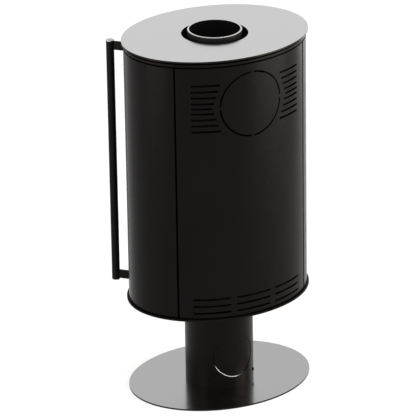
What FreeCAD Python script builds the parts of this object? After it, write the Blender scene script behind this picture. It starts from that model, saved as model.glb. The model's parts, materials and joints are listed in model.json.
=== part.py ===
import FreeCAD, Part
import math
import os

# A wood burning stove of oval plan on a round pedestal.
# Millimetres, +Z up, origin at the centre of the underside of the base plate.
# The door faces -Y, the long axis of the oval is X.

V = FreeCAD.Vector
UP = V(0, 0, 1)

# The oval of the base, bottom and top plates, and of the body between them.
PLATE_A = 282.5
PLATE_B = 224.5
PLATE_THICK = 5.0
OVERHANG = 6.2
BODY_A = PLATE_A - OVERHANG
BODY_B = PLATE_B - OVERHANG

# Heights.
BODY_FLOOR_TOP = 293.0
BODY_FLOOR_BOTTOM = BODY_FLOOR_TOP - PLATE_THICK
PANEL_BOTTOM = 297.0
PANEL_TOP = 1071.2
BAND_BOTTOM = 1075.7
BAND_TOP = 1082.5
TOP_BOTTOM = 1090.0
TOP_TOP = TOP_BOTTOM + PLATE_THICK
COLLAR_TOP = 1107.6

# Fasteners and fits.
M5_R = 2.5
M6_R = 3.0
M8_R = 4.0
M6_FLATS = 10.0
M6_HEAD = 4.0
M8_FLATS = 13.0
M8_HEAD = 5.0
RUNNING_FIT = 0.05

# Body panels.
SKIN = 2.5
DOOR_SKIN = 3.0
SEAM = 4.2
RETURN_DEPTH = 13.0
RETURN_START = 1.0
BEND_R = 3.0
REAR_SEAM_DEG = 40.3
DOOR_SEAM_DEG = 37.5

# Frame: posts behind the four seams, and rims that close the gaps over and under the panels.
POST_DEPTH = 19.0
POST_SHEET = 3.0
POST_WEB = 6.0
POST_HALF = 16.0
RIM_DEPTH = 14.0
RIM_SHEET = 1.5
RIM_GAP_DEG = 5.0
TOP_RIM_BOTTOM = 1052.0
BOTTOM_RIM_TOP = 306.0
TOP_FRAME_WIDTH = 44.0
SPACER_DEG = (28, 152, 208, 332)
SPACER_DEPTH = 30.0
SPACER_R = 9.0

# Pedestal.
PEDESTAL_R = 101.5
PEDESTAL_WALL = 3.0
PEDESTAL_BORE = PEDESTAL_R - PEDESTAL_WALL
BASE_RING_BORE = 90.0
BASE_RING_TALL = 38.0
TOP_RING_BORE = 66.0
TOP_RING_THICK = 6.0
TOP_RING_BOLT_R = 80.0
CROSS_DEG = (45, 135, 225, 315)

# Round cover of the outside-air inlet at the back of the pedestal. It hangs a little high
# and to one side in its hole, so the gap round it is a crescent.
INLET_R = 64.8
INLET_Z = 104.4
COVER_R = 63.2
COVER_X = -0.5
COVER_Z = INLET_Z + 1.0
COVER_RECESS = 1.2
COVER_SHEET = 2.0
COVER_LUG_HALF = 9.0
COVER_LUG_REACH = 9.0

# Set screws at the foot of the pedestal, and the air spigot under the body.
SET_SCREW_Z = 30.6
SET_SCREW_DEG = (40.0, 140.0, 270.0)
SET_SCREW_CLEARANCE = 0.2
SET_SCREW_START = 92.0
SET_SCREW_HEAD_R = 5.0
SET_SCREW_HEAD = 2.8
SET_SCREW_SOCKET_R = 1.9
SET_SCREW_SOCKET = 1.8
AIR_SPIGOT_R = 50.0
AIR_SPIGOT_WALL = 1.5
AIR_SPIGOT_LENGTH = 30.0

# Flue collar on the firebox roof, with the top plate open round it.
COLLAR_R = 79.3
COLLAR_BORE = 74.3
COLLAR_CHAMFER = 0.8
COLLAR_FLANGE_R = 94.0
COLLAR_FLANGE_THICK = 6.0
COLLAR_BOLT_R = 86.5
ROOF_HOLE_R = 66.3
TOP_HOLE_R = 97.2

# Rear flue opening: a round cut line in the rear panel, and a blank on the firebox behind it.
FLUE_Z = 949.0
KNOCKOUT_R = 97.0
KNOCKOUT_CUT = 5.2
KNOCKOUT_BRIDGE = 9.0
BLANK_R = 85.0
BLANK_THICK = 5.0
BLANK_BOLT_R = 79.0
BLANK_HOLE_R = 72.0
BLANK_HEAD_R = 4.5

# Louvre slots beside the knock-out: height over its centre and where the inner end of
# the slot lies, measured round the body from the middle of the rear panel.
LOUVRE_HEIGHT = 6.0
LOUVRE_OUTER = 182.3
LOUVRES = ((0.0, 122.0), (15.3, 117.0), (33.5, 111.0), (51.6, 105.0), (70.0, 98.0))
VENT_HEIGHT = 6.0
VENT_ROWS = (354.5, 333.0, 311.5)
VENT_SPANS = ((-185.0, -74.0), (-56.0, 56.0), (74.0, 185.0))
SLOT_DEPTH = 6.0

# Firebox.
BOX_HALF = 190.0
BOX_BACK = 120.0
BOX_BOTTOM = 480.0
BOX_TOP = 1040.0
BOX_WALL = 4.0
BOX_INNER = BOX_HALF - BOX_WALL
BOX_BACK_INNER = BOX_BACK - BOX_WALL
FLANGE_DEPTH = 14.0
FLANGE_THICK = 4.0
FLANGE_DEG = 42.0
FLANGE_LIP = 10.0
MOUTH_DEG = 53.0
MOUTH_TOP = 1020.0
LEG_INNER = 158.0
LEG_OUTER = 186.0
LEG_FRONT = -105.0
LEG_BACK = 100.0
LEG_SHEET = 3.0

# Hearth, linings and what lies on them.
HEARTH_Z = 552.0
HEARTH_TOP = HEARTH_Z + BOX_WALL
LINER = 24.0
LINER_TOP = 880.0
LINER_FRONT = -124.0
FLOOR_LINER_GAP = 6.0
FLOOR_LINER_FRONT = -170.0
FLOOR_LINER_TOP = HEARTH_TOP + LINER
BAFFLE_FRONT = -62.0
BAFFLE_THICK = 20.0
BAFFLE_CHAMFER = 6.0
BAFFLE_GAP = 1.0
GRATE_HALF_X = 100.0
GRATE_HALF_Y = 70.0
GRATE_LEDGE = 10.0
GRATE_THICK = 20.0
GRATE_GAP = 1.0
GRATE_SLOTS = 9
GRATE_PITCH = 20.0
GRATE_SLOT_HALF = 4.5
GRATE_SLOT_REACH = 50.0
LOG_BAR_HALF = 150.0
LOG_BAR_Y = -134.0
LOG_BAR_SHEET = 4.0
LOG_BAR_LOW = 12.0
LOG_BAR_HIGH = 38.0
LOG_FOOT_X = 140.0
LOG_FOOT_HALF = 8.0
LOG_FOOT_LENGTH = 24.0
LOG_FOOT_SHEET = 3.0

# Ash pan under the grate.
PAN_HALF = 118.0
PAN_FRONT = -140.0
PAN_BACK = 50.0
PAN_TALL = 52.0
PAN_SHEET = 1.5
PAN_LIP_FRONT = -152.0
PAN_LIP_Z = 46.0
PAN_LIP_SHEET = 2.0
PAN_PULL_HALF = 30.0
PAN_PULL_LOW = 28.0

# Heat shield behind the firebox.
SHIELD_Y = 150.0
SHIELD_SHEET = 2.0
SHIELD_HALF = 160.0
SHIELD_BOTTOM = 360.0
SHIELD_TOP = 1060.0
SHIELD_FOOT_X = 138.0
SHIELD_FOOT_HALF = 10.0
SHIELD_FOOT_LENGTH = 12.0

# Door, in layers counted inwards from the outer face of the body.
DOOR_FRAME_DEPTH = 11.0
DOOR_FRAME_DEG = 47.0
DOOR_FRAME_BOTTOM = 500.0
DOOR_FRAME_TOP = 1042.0
DOOR_FRAME_WIDTH_DEG = 3.5
DOOR_FRAME_WIDTH = 14.0
ROPE_DEPTH = 13.6
ROPE_INSET_DEG = 1.0
ROPE_INSET = 3.0
WINDOW_DEG = 57.0
WINDOW_BOTTOM = 590.0
WINDOW_TOP = 985.0
GLASS_MARGIN = 14.0
GLASS_BOTTOM = WINDOW_BOTTOM - GLASS_MARGIN
GLASS_TOP = WINDOW_TOP + GLASS_MARGIN
GLASS_DEG = 53.5
GLASS_DEPTH = 4.5
GLASS_THICK = 4.0
GLASS_ROPE_DEG = 2.0
GLASS_ROPE = 9.0
CLIP_DEG = (244.0, 270.0, 296.0)
CLIP_HALF_DEG = 1.8
CLIP_SHEET = 1.5
CLIP_FOOT = 8.0
CLIP_GAP = 2.0
CLIP_LAP = 10.0

# Door hinge.
HINGE_DEPTH = 7.0
HINGE_FROM_EDGE = 8.0
HINGE_PIN_R = 3.0
HINGE_PIN_REACH = 14.0
HINGE_BLOCK = 18.0
HINGE_BLOCK_START = 3.0
HINGE_BLOCK_END = 14.0
HINGE_BLOCK_GAP = 0.2
HINGE_BLOCK_DEPTH = 11.0
HINGE_FOLD = 8.0

# Door catch: a sprung roller on the frame that the door's tongue rides over.
CATCH_Z = 440.0
CATCH_ALONG = -29.0
CATCH_DEPTH = 14.0
CATCH_HALF = 15.0
CATCH_SHEET = 2.5
CATCH_CHEEK_DEPTH = 8.0
CATCH_CHEEK_START = CATCH_ALONG - 4.0
CATCH_CHEEK_END = -POST_HALF - 0.5
CATCH_BACK_END = -4.0
TONGUE_FOOT_DEG = (310.5, 314.4)
TONGUE_FOOT_HALF = 18.0
TONGUE_FOOT_SHEET = 2.2
TONGUE_HALF = 12.0
TONGUE_DEPTH = (6.5, 23.0)
TONGUE_SHEET = 2.5
TONGUE_GAP = 0.5
ROLLER_R = 4.5
ROLLER_PIN_R = 1.5
ROLLER_END_GAP = 0.4

# Handle.
HANDLE_DEG = 41.4
HANDLE_STANDOFF = 55.7
ROD_R = 12.0
ROD_BOTTOM = 305.6
ROD_TOP = 1061.4
CAP_THICK = 2.0
CAP_STEP = 0.2
BRACKET_TALL = 26.0
BRACKET_THICK = 6.0
BRACKET_INSET = 3.0
BRACKET_FOOT_HALF = 11.0
BRACKET_FOOT_GAP = 0.3
BRACKET_FOOT_SHEET = 3.0
BRACKET_SLOT_DEPTH = 10.0

# Air control: a lever under the body that turns a shutter inside the air box.
PIVOT_Y = -126.0
PIVOT_R = 4.0
PIVOT_BELOW = 9.0
LEVER_REACH = 86.0
LEVER_HALF = 7.0
LEVER_HUB_R = 10.0
LEVER_GAP = 0.5
LEVER_THICK = 4.0
KNOB_R = 8.0
KNOB_TALL = 16.0
KNOB_ROUND = 3.0
KNOB_STEM_R = 5.0
KNOB_STEM = 4.0
SHUTTER_R = 60.0
SHUTTER_GAP = 0.5
SHUTTER_THICK = 2.0
SHUTTER_HUB_R = 12.0
SHUTTER_SPREAD = 34.0
SHUTTER_LENGTH = 70.0
AIR_BOX_TOP = 345.0
AIR_BOX_SHEET = 2.0
AIR_BOX_HALF = 150.0
AIR_BOX_FRONT = -152.0
AIR_BOX_BACK = 142.0
PORT_R = 14.0
PORT_PLACE = (-19.0, PIVOT_Y + 37.0)
PRIMARY_R = 24.0
PRIMARY_WALL = 2.0
PRIMARY_PLACE = (0.0, 80.0)
DUCT_X = 130.0
DUCT_HALF = 20.0
DUCT_SHEET = 2.0
DUCT_BACK = 140.0
DUCT_TOP_GAP = 6.0

# How far a cutter runs past the face it cuts.
PAST = 1.0


def solid_ellipse(a, b, z0, z1):
    curve = Part.Ellipse(V(0, 0, z0), a, b)
    face = Part.Face(Part.Wire(curve.toShape()))
    return face.extrude(V(0, 0, z1 - z0))


def oval(inset, z0, z1):
    return solid_ellipse(BODY_A - inset, BODY_B - inset, z0, z1)


def oval_wall(depth, thick, z0, z1):
    return oval(depth, z0, z1).cut(oval(depth + thick, z0 - PAST, z1 + PAST))


def tube(outer, inner, z0, z1, centre=(0, 0)):
    return rod(outer, z0, z1, centre).cut(hole(inner, z0, z1, centre))


def rod(radius, z0, z1, centre=(0, 0)):
    return Part.makeCylinder(radius, z1 - z0, V(centre[0], centre[1], z0))


def hole(radius, z0, z1, centre=(0, 0)):
    """A cutter for an upright round hole from z0 to z1."""
    return rod(radius, z0 - PAST, z1 + PAST, centre)


def rod_to_rear(radius, y0, y1, x, z):
    return Part.makeCylinder(radius, y1 - y0, V(x, y0, z), V(0, 1, 0))


def box(x0, x1, y0, y1, z0, z1):
    return Part.makeBox(x1 - x0, y1 - y0, z1 - z0, V(x0, y0, z0))


def on_oval(deg, depth=0.0):
    """A point on the body's plan, depth millimetres inside it, and the outward normal."""
    turn = math.radians(deg)
    edge = V(BODY_A * math.cos(turn), BODY_B * math.sin(turn), 0)
    normal = V(math.cos(turn) / BODY_A, math.sin(turn) / BODY_B, 0)
    normal.normalize()
    return edge - normal * depth, normal


def wedge(deg0, deg1, z0, z1):
    """All that lies between two angles of the oval, counted counter-clockwise."""
    steps = 8
    points = [V(0, 0, z0)]
    for i in range(steps + 1):
        point, normal = on_oval(deg0 + (deg1 - deg0) * i / steps)
        points.append(V(point.x * 1.5, point.y * 1.5, z0))
    points.append(points[0])
    return Part.Face(Part.makePolygon(points)).extrude(V(0, 0, z1 - z0))


def degrees_for(length, deg):
    """How many degrees of the oval a short length along its edge covers, near deg."""
    turn = math.radians(deg)
    speed = math.hypot(BODY_A * math.sin(turn), BODY_B * math.cos(turn))
    return math.degrees(length / speed)


def degrees_at_arc(length):
    """The angle of the oval at a length round the body from the middle of the rear."""
    deg = 90.0
    steps = 60
    for i in range(steps):
        deg = deg - degrees_for(length / steps, deg)
    return deg


def local_block(deg, depth0, depth1, along0, along1, z0, z1):
    """A block square to the oval's edge at deg: depth inwards, along counter-clockwise."""
    edge, normal = on_oval(deg)
    along = UP.cross(normal)
    corners = []
    for depth, run in ((depth0, along0), (depth1, along0), (depth1, along1), (depth0, along1)):
        point = edge - normal * depth + along * run
        corners.append(V(point.x, point.y, z0))
    corners.append(corners[0])
    return Part.Face(Part.makePolygon(corners)).extrude(V(0, 0, z1 - z0))


def curved_panel(deg0, deg1, depth, thick, z0, z1):
    return oval_wall(depth, thick, z0, z1).common(wedge(deg0, deg1, z0 - PAST, z1 + PAST))


def curved_frame(deg0, deg1, edge_deg, edge_z, depth, thick, z0, z1):
    """A curved rectangular frame that follows the body."""
    outer = curved_panel(deg0, deg1, depth, thick, z0, z1)
    return outer.cut(wedge(deg0 + edge_deg, deg1 - edge_deg, z0 + edge_z, z1 - edge_z))


def fuse(shapes):
    return shapes[0].multiFuse(shapes[1:]).removeSplitter()


def group(shapes):
    return Part.makeCompound(shapes)


def base_plate():
    return solid_ellipse(PLATE_A, PLATE_B, 0, PLATE_THICK)


def radial_pin(radius, r0, r1, deg, z):
    turn = math.radians(deg)
    way = V(math.cos(turn), math.sin(turn), 0)
    return Part.makeCylinder(radius, r1 - r0, V(way.x * r0, way.y * r0, z), way)


def set_screw_holes(radius):
    return [radial_pin(radius, 0, PEDESTAL_R + PAST, deg, SET_SCREW_Z) for deg in SET_SCREW_DEG]


def pedestal_tube():
    wall = tube(PEDESTAL_R, PEDESTAL_BORE, PLATE_THICK, BODY_FLOOR_BOTTOM)
    inlet = rod_to_rear(INLET_R, 0, PEDESTAL_R + PAST, 0, INLET_Z)
    return wall.cut([inlet] + set_screw_holes(M6_R + SET_SCREW_CLEARANCE))


def pedestal_air_cover():
    """A curved disc in the round hole, with two lugs that grip the inside of the pedestal."""
    outer = PEDESTAL_R - COVER_RECESS
    low = INLET_Z - INLET_R
    high = INLET_Z + INLET_R
    sheet = tube(outer, outer - COVER_SHEET, low, high)
    disc = sheet.common(rod_to_rear(COVER_R, 0, PEDESTAL_R, COVER_X, COVER_Z))
    inside = tube(PEDESTAL_BORE, PEDESTAL_BORE - COVER_SHEET, low, high)
    reach = INLET_R + COVER_LUG_REACH
    lug_low = INLET_Z - COVER_LUG_HALF
    lug_high = INLET_Z + COVER_LUG_HALF
    lugs = inside.common(box(-reach, reach, 0, PEDESTAL_R, lug_low, lug_high))
    return fuse([disc, lugs])


def pedestal_set_screws():
    screws = []
    head_end = PEDESTAL_R + SET_SCREW_HEAD
    for deg in SET_SCREW_DEG:
        shank = radial_pin(M6_R, SET_SCREW_START, PEDESTAL_R, deg, SET_SCREW_Z)
        head = radial_pin(SET_SCREW_HEAD_R, PEDESTAL_R, head_end, deg, SET_SCREW_Z)
        socket = radial_pin(SET_SCREW_SOCKET_R, head_end - SET_SCREW_SOCKET, head_end + PAST, deg,
                            SET_SCREW_Z)
        screws.append(fuse([shank, head]).cut(socket))
    return group(screws)


def pedestal_base_ring():
    outer = PEDESTAL_BORE - SET_SCREW_CLEARANCE
    ring = tube(outer, BASE_RING_BORE, PLATE_THICK, PLATE_THICK + BASE_RING_TALL)
    return ring.cut(set_screw_holes(M6_R))


def top_ring_bolt_places():
    return around(TOP_RING_BOLT_R, CROSS_DEG)


def pedestal_top_ring():
    low = BODY_FLOOR_BOTTOM - TOP_RING_THICK
    ring = tube(PEDESTAL_BORE, TOP_RING_BORE, low, BODY_FLOOR_BOTTOM)
    return ring.cut([hole(M8_R, low, BODY_FLOOR_BOTTOM, place) for place in top_ring_bolt_places()])


def around(radius, degs, centre=(0, 0)):
    places = []
    for deg in degs:
        turn = math.radians(deg)
        places.append((centre[0] + radius * math.cos(turn), centre[1] + radius * math.sin(turn)))
    return places


def hex_prism(across_flats, z0, z1, centre):
    points = []
    for x, y in around(across_flats / math.sqrt(3), range(30, 391, 60), centre):
        points.append(V(x, y, z0))
    return Part.Face(Part.makePolygon(points)).extrude(V(0, 0, z1 - z0))


def pedestal_top_bolts():
    bolts = []
    seat = BODY_FLOOR_BOTTOM - TOP_RING_THICK
    for place in top_ring_bolt_places():
        shank = rod(M8_R, seat, BODY_FLOOR_TOP + M8_R, place)
        bolts.append(fuse([shank, hex_prism(M8_FLATS, seat - M8_HEAD, seat, place)]))
    return group(bolts)


def air_spigot():
    bottom = BODY_FLOOR_BOTTOM - AIR_SPIGOT_LENGTH
    return tube(AIR_SPIGOT_R, AIR_SPIGOT_R - AIR_SPIGOT_WALL, bottom, BODY_FLOOR_TOP)


def bottom_plate():
    plate = solid_ellipse(PLATE_A, PLATE_B, BODY_FLOOR_BOTTOM, BODY_FLOOR_TOP)
    round_cuts = [(AIR_SPIGOT_R, (0, 0)), (PIVOT_R + RUNNING_FIT, (0, PIVOT_Y))]
    round_cuts.append((HINGE_PIN_R, hinge_centre()))
    for place in top_ring_bolt_places():
        round_cuts.append((M8_R, place))
    cuts = [hole(radius, BODY_FLOOR_BOTTOM, BODY_FLOOR_TOP, place) for radius, place in round_cuts]
    return fuse([plate, inner_rim(BODY_FLOOR_TOP, BOTTOM_RIM_TOP)]).cut(cuts)


def hinge_centre():
    edge, normal = on_oval(180 + DOOR_SEAM_DEG, HINGE_DEPTH)
    along = UP.cross(normal)
    place = edge + along * (HINGE_FROM_EDGE + SEAM / 2)
    return (place.x, place.y)


def corner_posts():
    posts = []
    inner = POST_DEPTH + POST_SHEET
    half_web = POST_SHEET / 2
    for deg in (REAR_SEAM_DEG, 180 - REAR_SEAM_DEG, 180 + DOOR_SEAM_DEG, 360 - DOOR_SEAM_DEG):
        face = local_block(deg, POST_DEPTH, inner, -POST_HALF, POST_HALF, BODY_FLOOR_TOP, BAND_BOTTOM)
        web = local_block(deg, inner, inner + POST_WEB, -half_web, half_web, BODY_FLOOR_TOP,
                          BAND_BOTTOM)
        posts.append(fuse([face, web]))
    return group(posts)


def inner_rim(z0, z1):
    """A thin upright strip behind the panels, left out where the door hinge turns."""
    hinge = 180 + DOOR_SEAM_DEG
    ring = oval_wall(RIM_DEPTH, RIM_SHEET, z0, z1)
    return ring.cut(wedge(hinge - RIM_GAP_DEG, hinge + RIM_GAP_DEG, z0 - PAST, z1 + PAST))


def top_frame():
    ring = oval_wall(0, TOP_FRAME_WIDTH, BAND_BOTTOM, BAND_TOP)
    ring = fuse([ring, inner_rim(TOP_RIM_BOTTOM, BAND_BOTTOM)])
    holes = [hole(HINGE_PIN_R, BAND_BOTTOM, BAND_TOP, hinge_centre())]
    for place in spacer_places():
        holes.append(hole(M6_R, BAND_BOTTOM, BAND_TOP, place))
    return ring.cut(holes)


def spacer_places():
    places = []
    for deg in SPACER_DEG:
        point, normal = on_oval(deg, SPACER_DEPTH)
        places.append((point.x, point.y))
    return places


def top_plate_spacers():
    return group([tube(SPACER_R, M6_R, BAND_TOP, TOP_BOTTOM, place) for place in spacer_places()])


def top_frame_screws():
    screws = []
    for place in spacer_places():
        shank = rod(M6_R, BAND_BOTTOM - M6_HEAD, TOP_BOTTOM, place)
        screws.append(fuse([shank, hex_prism(M6_FLATS, BAND_BOTTOM - M6_HEAD, BAND_BOTTOM, place)]))
    return group(screws)


def top_plate():
    plate = solid_ellipse(PLATE_A, PLATE_B, TOP_BOTTOM, TOP_TOP)
    return plate.cut(hole(TOP_HOLE_R, TOP_BOTTOM, TOP_TOP))


def folded_sheet(deg0, deg1, thick, depth0, depth1):
    """A curved sheet between two seams, its upright edges bent inwards to depth0 and depth1."""
    start = deg0 + degrees_for(SEAM / 2, deg0)
    end = deg1 - degrees_for(SEAM / 2, deg1)
    sheet = oval_wall(0, thick, PANEL_BOTTOM, PANEL_TOP)
    sheet = sheet.common(wedge(start - BEND_R, end + BEND_R, PANEL_BOTTOM, PANEL_TOP))
    pieces = []
    for deg, depth, side in ((start, depth0, 1), (end, depth1, -1)):
        out0, out1 = sorted((0, -side * PLATE_B / 2))
        sheet = sheet.cut(local_block(deg, -PAST, POST_DEPTH, out0, out1, PANEL_BOTTOM, PANEL_TOP))
        run0, run1 = sorted((0, side * SKIN))
        pieces.append(local_block(deg, RETURN_START, depth, run0, run1, PANEL_BOTTOM, PANEL_TOP))
    shape = fuse([sheet] + pieces)
    corners = [on_oval(start)[0], on_oval(end)[0]]
    bends = [edge for edge in shape.Edges if is_upright_at(edge, corners)]
    return shape.makeFillet(BEND_R, bends)


def is_upright_at(edge, places):
    """True for an upright edge that stands at one of some points in plan."""
    low = edge.BoundBox
    if low.ZLength < PANEL_TOP - PANEL_BOTTOM - PAST:
        return False
    return any(math.hypot(low.XMin - place.x, low.YMin - place.y) < PAST / 4 for place in places)


def body_panel(deg0, deg1):
    return folded_sheet(deg0, deg1, SKIN, RETURN_DEPTH, RETURN_DEPTH)


def rear_panel():
    panel = body_panel(REAR_SEAM_DEG, 180 - REAR_SEAM_DEG)
    cuts = knockout_cut()
    for rise, inner in LOUVRES:
        for z in sorted({FLUE_Z + rise, FLUE_Z - rise}):
            cuts.append(arc_slot(inner, LOUVRE_OUTER, z, LOUVRE_HEIGHT))
            cuts.append(arc_slot(-LOUVRE_OUTER, -inner, z, LOUVRE_HEIGHT))
    for z in VENT_ROWS:
        for start, end in VENT_SPANS:
            cuts.append(arc_slot(start, end, z, VENT_HEIGHT))
    return panel.cut(cuts)


def arc_slot(start, end, z, height):
    cutter = wedge(degrees_at_arc(end), degrees_at_arc(start), z - height / 2, z + height / 2)
    return cutter.cut(oval(SLOT_DEPTH, z - height, z + height))


def knockout_cut():
    """The round cut line of the rear flue opening, less the four bridges that hold it."""
    start = BODY_B / 2
    end = PLATE_B
    outer = rod_to_rear(KNOCKOUT_R + KNOCKOUT_CUT / 2, start, end, 0, FLUE_Z)
    ring = outer.cut(rod_to_rear(KNOCKOUT_R - KNOCKOUT_CUT / 2, start, end, 0, FLUE_Z))
    half = KNOCKOUT_BRIDGE / 2
    reach = KNOCKOUT_R + KNOCKOUT_CUT
    upright = box(-half, half, 0, end, FLUE_Z - reach, FLUE_Z + reach)
    level = box(-reach, reach, 0, end, FLUE_Z - half, FLUE_Z + half)
    return ring.cut([upright, level]).Solids


def right_side_panel():
    return body_panel(-DOOR_SEAM_DEG, REAR_SEAM_DEG)


def left_side_panel():
    return body_panel(180 - REAR_SEAM_DEG, 180 + DOOR_SEAM_DEG)


def collar_bolt_places():
    return around(COLLAR_BOLT_R, CROSS_DEG)


def flue_collar():
    flange_top = BOX_TOP + COLLAR_FLANGE_THICK
    body = fuse([rod(COLLAR_FLANGE_R, BOX_TOP, flange_top), rod(COLLAR_R, BOX_TOP, COLLAR_TOP)])
    rim = [edge for edge in body.Edges if edge.BoundBox.ZMin > COLLAR_TOP - COLLAR_CHAMFER]
    body = body.makeChamfer(COLLAR_CHAMFER, rim)
    cuts = [hole(COLLAR_BORE, BOX_TOP, COLLAR_TOP)]
    for place in collar_bolt_places():
        cuts.append(hole(M6_R, BOX_TOP, flange_top, place))
    return body.cut(cuts)


def collar_bolts():
    bolts = []
    seat = BOX_TOP + COLLAR_FLANGE_THICK
    for place in collar_bolt_places():
        shank = rod(M6_R, BOX_TOP - BOX_WALL, seat, place)
        bolts.append(fuse([shank, hex_prism(M6_FLATS, seat, seat + M6_HEAD, place)]))
    return group(bolts)


def firebox_plate(x0, x1, y0, y1, z0, z1):
    """A plate of the firebox, trimmed to the curve of the front flange."""
    return box(x0, x1, y0, y1, z0, z1).common(oval(FLANGE_DEPTH + FLANGE_THICK, z0, z1))


def firebox_floor():
    top = BOX_BOTTOM + BOX_WALL
    plate = firebox_plate(-BOX_HALF, BOX_HALF, -BODY_B, BOX_BACK, BOX_BOTTOM, top)
    return plate.cut(hole(PRIMARY_R - PRIMARY_WALL, BOX_BOTTOM, top, PRIMARY_PLACE))


def firebox_roof():
    bottom = BOX_TOP - BOX_WALL
    plate = firebox_plate(-BOX_HALF, BOX_HALF, -BODY_B, BOX_BACK, bottom, BOX_TOP)
    cuts = [hole(ROOF_HOLE_R, bottom, BOX_TOP)]
    for place in collar_bolt_places():
        cuts.append(hole(M6_R, bottom, BOX_TOP, place))
    return plate.cut(cuts)


def firebox_sides():
    plates = []
    for side in (-1, 1):
        x0, x1 = sorted((side * BOX_HALF, side * BOX_INNER))
        plates.append(firebox_plate(x0, x1, -BODY_B, BOX_BACK, BOX_BOTTOM + BOX_WALL,
                                    BOX_TOP - BOX_WALL))
    return group(plates)


def firebox_back():
    plate = box(-BOX_INNER, BOX_INNER, BOX_BACK_INNER, BOX_BACK, BOX_BOTTOM + BOX_WALL,
                BOX_TOP - BOX_WALL)
    start = BOX_BACK_INNER - PAST
    cuts = [rod_to_rear(BLANK_HOLE_R, start, BOX_BACK + PAST, 0, FLUE_Z)]
    for x, z in blank_bolt_places():
        cuts.append(rod_to_rear(M5_R, start, BOX_BACK + PAST, x, z))
    return plate.cut(cuts)


def firebox_hearth():
    plate = firebox_plate(-BOX_INNER, BOX_INNER, -BODY_B, BOX_BACK_INNER, HEARTH_Z, HEARTH_TOP)
    half_x = GRATE_HALF_X - GRATE_LEDGE
    half_y = GRATE_HALF_Y - GRATE_LEDGE
    return plate.cut(box(-half_x, half_x, -half_y, half_y, HEARTH_Z - PAST, HEARTH_TOP + PAST))


def firebox_front():
    """The curved flange that the door closes on."""
    flange = curved_panel(180 + FLANGE_DEG, 360 - FLANGE_DEG, FLANGE_DEPTH, FLANGE_THICK,
                          BOX_BOTTOM - FLANGE_LIP, BOX_TOP + FLANGE_LIP)
    return flange.cut(wedge(180 + MOUTH_DEG, 360 - MOUTH_DEG, BOX_BOTTOM + BOX_WALL, MOUTH_TOP))


def blank_bolt_places():
    return around(BLANK_BOLT_R, CROSS_DEG, (0, FLUE_Z))


def rear_flue_blank():
    back = BOX_BACK + BLANK_THICK
    plate = rod_to_rear(BLANK_R, BOX_BACK, back, 0, FLUE_Z)
    return plate.cut([rod_to_rear(M5_R, BOX_BACK - PAST, back + PAST, x, z)
                      for x, z in blank_bolt_places()])


def rear_blank_bolts():
    bolts = []
    seat = BOX_BACK + BLANK_THICK
    for x, z in blank_bolt_places():
        shank = rod_to_rear(M5_R, BOX_BACK_INNER, seat, x, z)
        bolts.append(fuse([shank, rod_to_rear(BLANK_HEAD_R, seat, seat + M6_HEAD, x, z)]))
    return group(bolts)


def firebox_supports():
    legs = []
    sheet = LEG_SHEET
    for side in (-1, 1):
        x0, x1 = sorted((side * LEG_INNER, side * LEG_OUTER))
        leg = box(x0, x1, LEG_FRONT, LEG_BACK, BODY_FLOOR_TOP, BOX_BOTTOM)
        legs.append(leg.cut(box(x0 + sheet, x1 - sheet, LEG_FRONT - PAST, LEG_BACK + PAST,
                                BODY_FLOOR_TOP + sheet, BOX_BOTTOM - sheet)))
    return group(legs)


def back_liner():
    half = BOX_INNER - LINER
    return box(-half, half, BOX_BACK_INNER - LINER, BOX_BACK_INNER, FLOOR_LINER_TOP, LINER_TOP)


def side_liner(side):
    x0, x1 = sorted((side * BOX_INNER, side * (BOX_INNER - LINER)))
    return box(x0, x1, LINER_FRONT, BOX_BACK_INNER, FLOOR_LINER_TOP, LINER_TOP)


def left_liner():
    return side_liner(-1)


def right_liner():
    return side_liner(1)


def floor_liner():
    slab = box(-BOX_INNER, BOX_INNER, FLOOR_LINER_FRONT, BOX_BACK_INNER, HEARTH_TOP, FLOOR_LINER_TOP)
    slab = slab.common(oval(FLANGE_DEPTH + FLANGE_THICK + FLOOR_LINER_GAP, HEARTH_TOP, FLOOR_LINER_TOP))
    half_x = GRATE_HALF_X + GRATE_GAP
    half_y = GRATE_HALF_Y + GRATE_GAP
    return slab.cut(box(-half_x, half_x, -half_y, half_y, HEARTH_TOP - PAST, FLOOR_LINER_TOP + PAST))


def baffle():
    half = BOX_INNER - BAFFLE_GAP
    plate = box(-half, half, BAFFLE_FRONT, BOX_BACK_INNER - BAFFLE_GAP, LINER_TOP,
                LINER_TOP + BAFFLE_THICK)
    front = [edge for edge in plate.Edges
             if edge.BoundBox.YMax < BAFFLE_FRONT + PAST and edge.BoundBox.XLength > half]
    return plate.makeChamfer(BAFFLE_CHAMFER, front)


def grate():
    top = HEARTH_TOP + GRATE_THICK
    slab = box(-GRATE_HALF_X, GRATE_HALF_X, -GRATE_HALF_Y, GRATE_HALF_Y, HEARTH_TOP, top)
    slots = []
    for i in range(GRATE_SLOTS):
        x = GRATE_PITCH * (i - (GRATE_SLOTS - 1) / 2)
        slots.append(box(x - GRATE_SLOT_HALF, x + GRATE_SLOT_HALF, -GRATE_SLOT_REACH, GRATE_SLOT_REACH,
                         HEARTH_TOP - PAST, top + PAST))
    return slab.cut(slots)


def log_retainer():
    """A bar across the front of the hearth on two bent feet."""
    base = FLOOR_LINER_TOP
    front = LOG_BAR_Y
    back = front + LOG_BAR_SHEET
    pieces = [box(-LOG_BAR_HALF, LOG_BAR_HALF, front, back, base + LOG_BAR_LOW, base + LOG_BAR_HIGH)]
    for x in (-LOG_FOOT_X, LOG_FOOT_X):
        x0 = x - LOG_FOOT_HALF
        x1 = x + LOG_FOOT_HALF
        pieces.append(box(x0, x1, front, back, base, base + LOG_BAR_LOW + PAST))
        pieces.append(box(x0, x1, front, front + LOG_FOOT_LENGTH, base, base + LOG_FOOT_SHEET))
    return fuse(pieces)


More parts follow.
